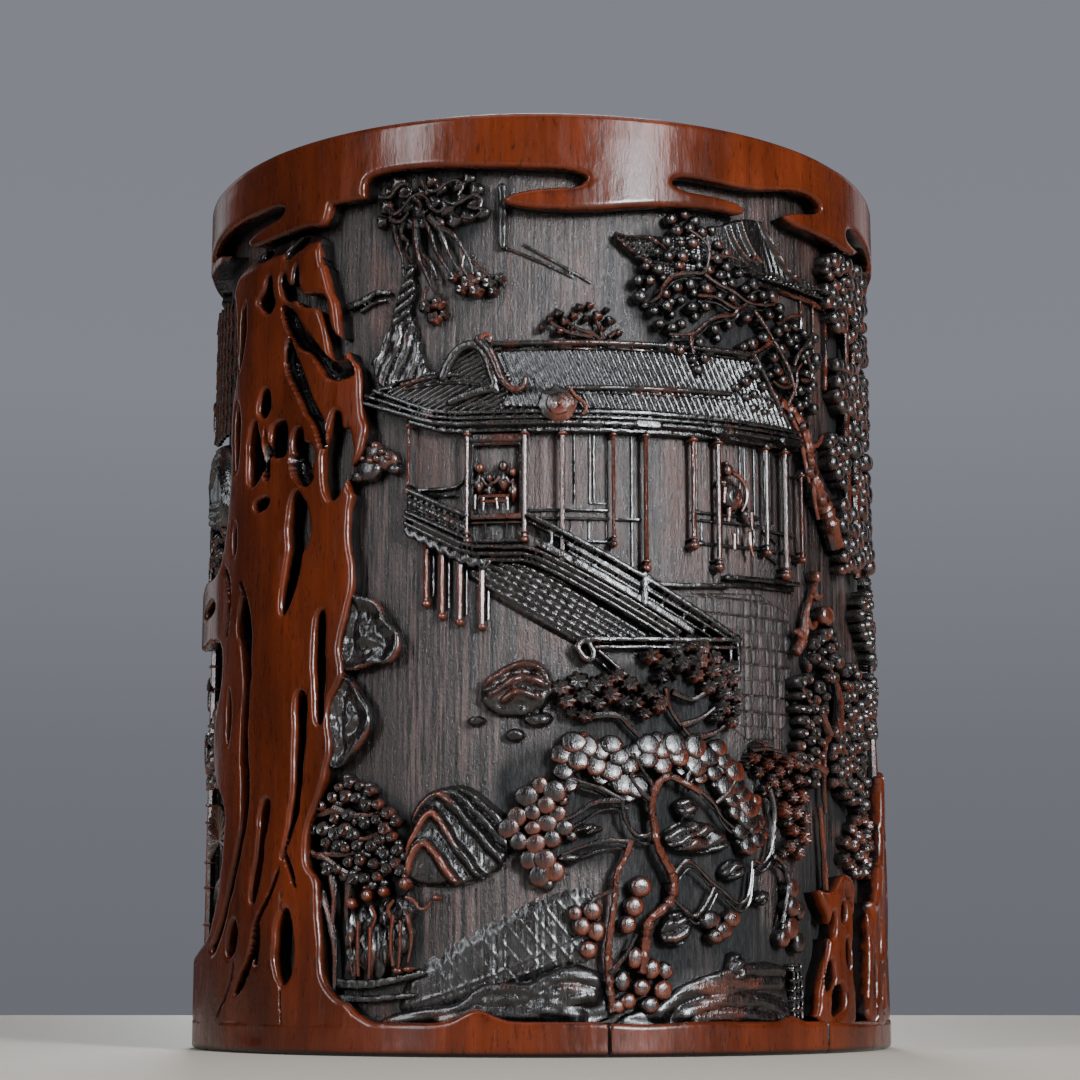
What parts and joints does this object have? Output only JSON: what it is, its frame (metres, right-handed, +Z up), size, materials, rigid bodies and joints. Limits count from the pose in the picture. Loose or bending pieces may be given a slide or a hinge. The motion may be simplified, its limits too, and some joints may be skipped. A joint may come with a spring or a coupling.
{
  "type": "brush holder pot",
  "caption": "Cylindrical bamboo brush pot, carved in deep relief with a crag, pines, a plum tree and pavilions, with a plain rim, a plain foot and a let-in floor.",
  "frame": {"origin": "centre of the foot, on the surface that the pot stands on", "axes": "+Z up along the bore, -Y towards the pavilion side"},
  "size_m": [0.116, 0.116, 0.143],
  "materials": {
    "bamboo_ground": "dark stained bamboo, fibre grain, satin wax",
    "skin": "polished red-brown bamboo skin, glossy wax",
    "dark_relief": "dark stained carved bamboo, satin wax",
    "worn_relief": "dark carved bamboo worn red on its high edges",
    "floor_board": "dark stained board, waxed"
  },
  "bodies": {
    "root": {"culm_wall": "bamboo_ground", "floor_disc": "floor_board", "rim_band": "skin", "rim_clouds": "skin", "foot_band": "skin", "red_cliff": "skin", "cliff_ledges": "dark_relief", "cliff_knot": "worn_relief", "hanging_pine": "worn_relief", "hanging_pine_tufts": "dark_relief", "hanging_rock": "dark_relief", "far_roof": "dark_relief", "far_wall": "dark_relief", "small_tree": "worn_relief", "plum_boughs": "dark_relief", "plum_berries": "worn_relief", "plum_trunk": "worn_relief", "hall_roof": "dark_relief", "hall_ridges": "worn_relief", "hall_eaves": "dark_relief", "hall_posts": "worn_relief", "hall_rails": "dark_relief", "room_frame": "dark_relief", "room_figures": "worn_relief", "drummer": "dark_relief", "gallery_rail": "dark_relief", "deck": "dark_relief", "stilts": "worn_relief", "stair": "dark_relief", "landing": "dark_relief", "ledges": "dark_relief", "mid_rocks": "dark_relief", "bough_leaves": "worn_relief", "pine_trunk": "worn_relief", "pine_leaves": "worn_relief", "pine_berries": "worn_relief", "mountain": "dark_relief", "terrace": "dark_relief", "shore_rocks": "dark_relief", "west_grove": "worn_relief", "grove_figures": "worn_relief", "staff_figure": "worn_relief", "east_trees": "dark_relief", "east_tree_berries": "worn_relief", "east_rocks": "skin", "west_foliage": "worn_relief", "north_rocks": "dark_relief", "north_foliage": "worn_relief", "back_cliff": "skin", "back_hills": "dark_relief", "back_pine": "worn_relief", "back_pine_leaves": "worn_relief", "hut_roof": "dark_relief", "hut_posts": "worn_relief", "boat": "worn_relief", "back_shore": "dark_relief", "bamboo_stalks": "worn_relief", "bamboo_leaves": "dark_relief"}
  },
  "joints": []
}
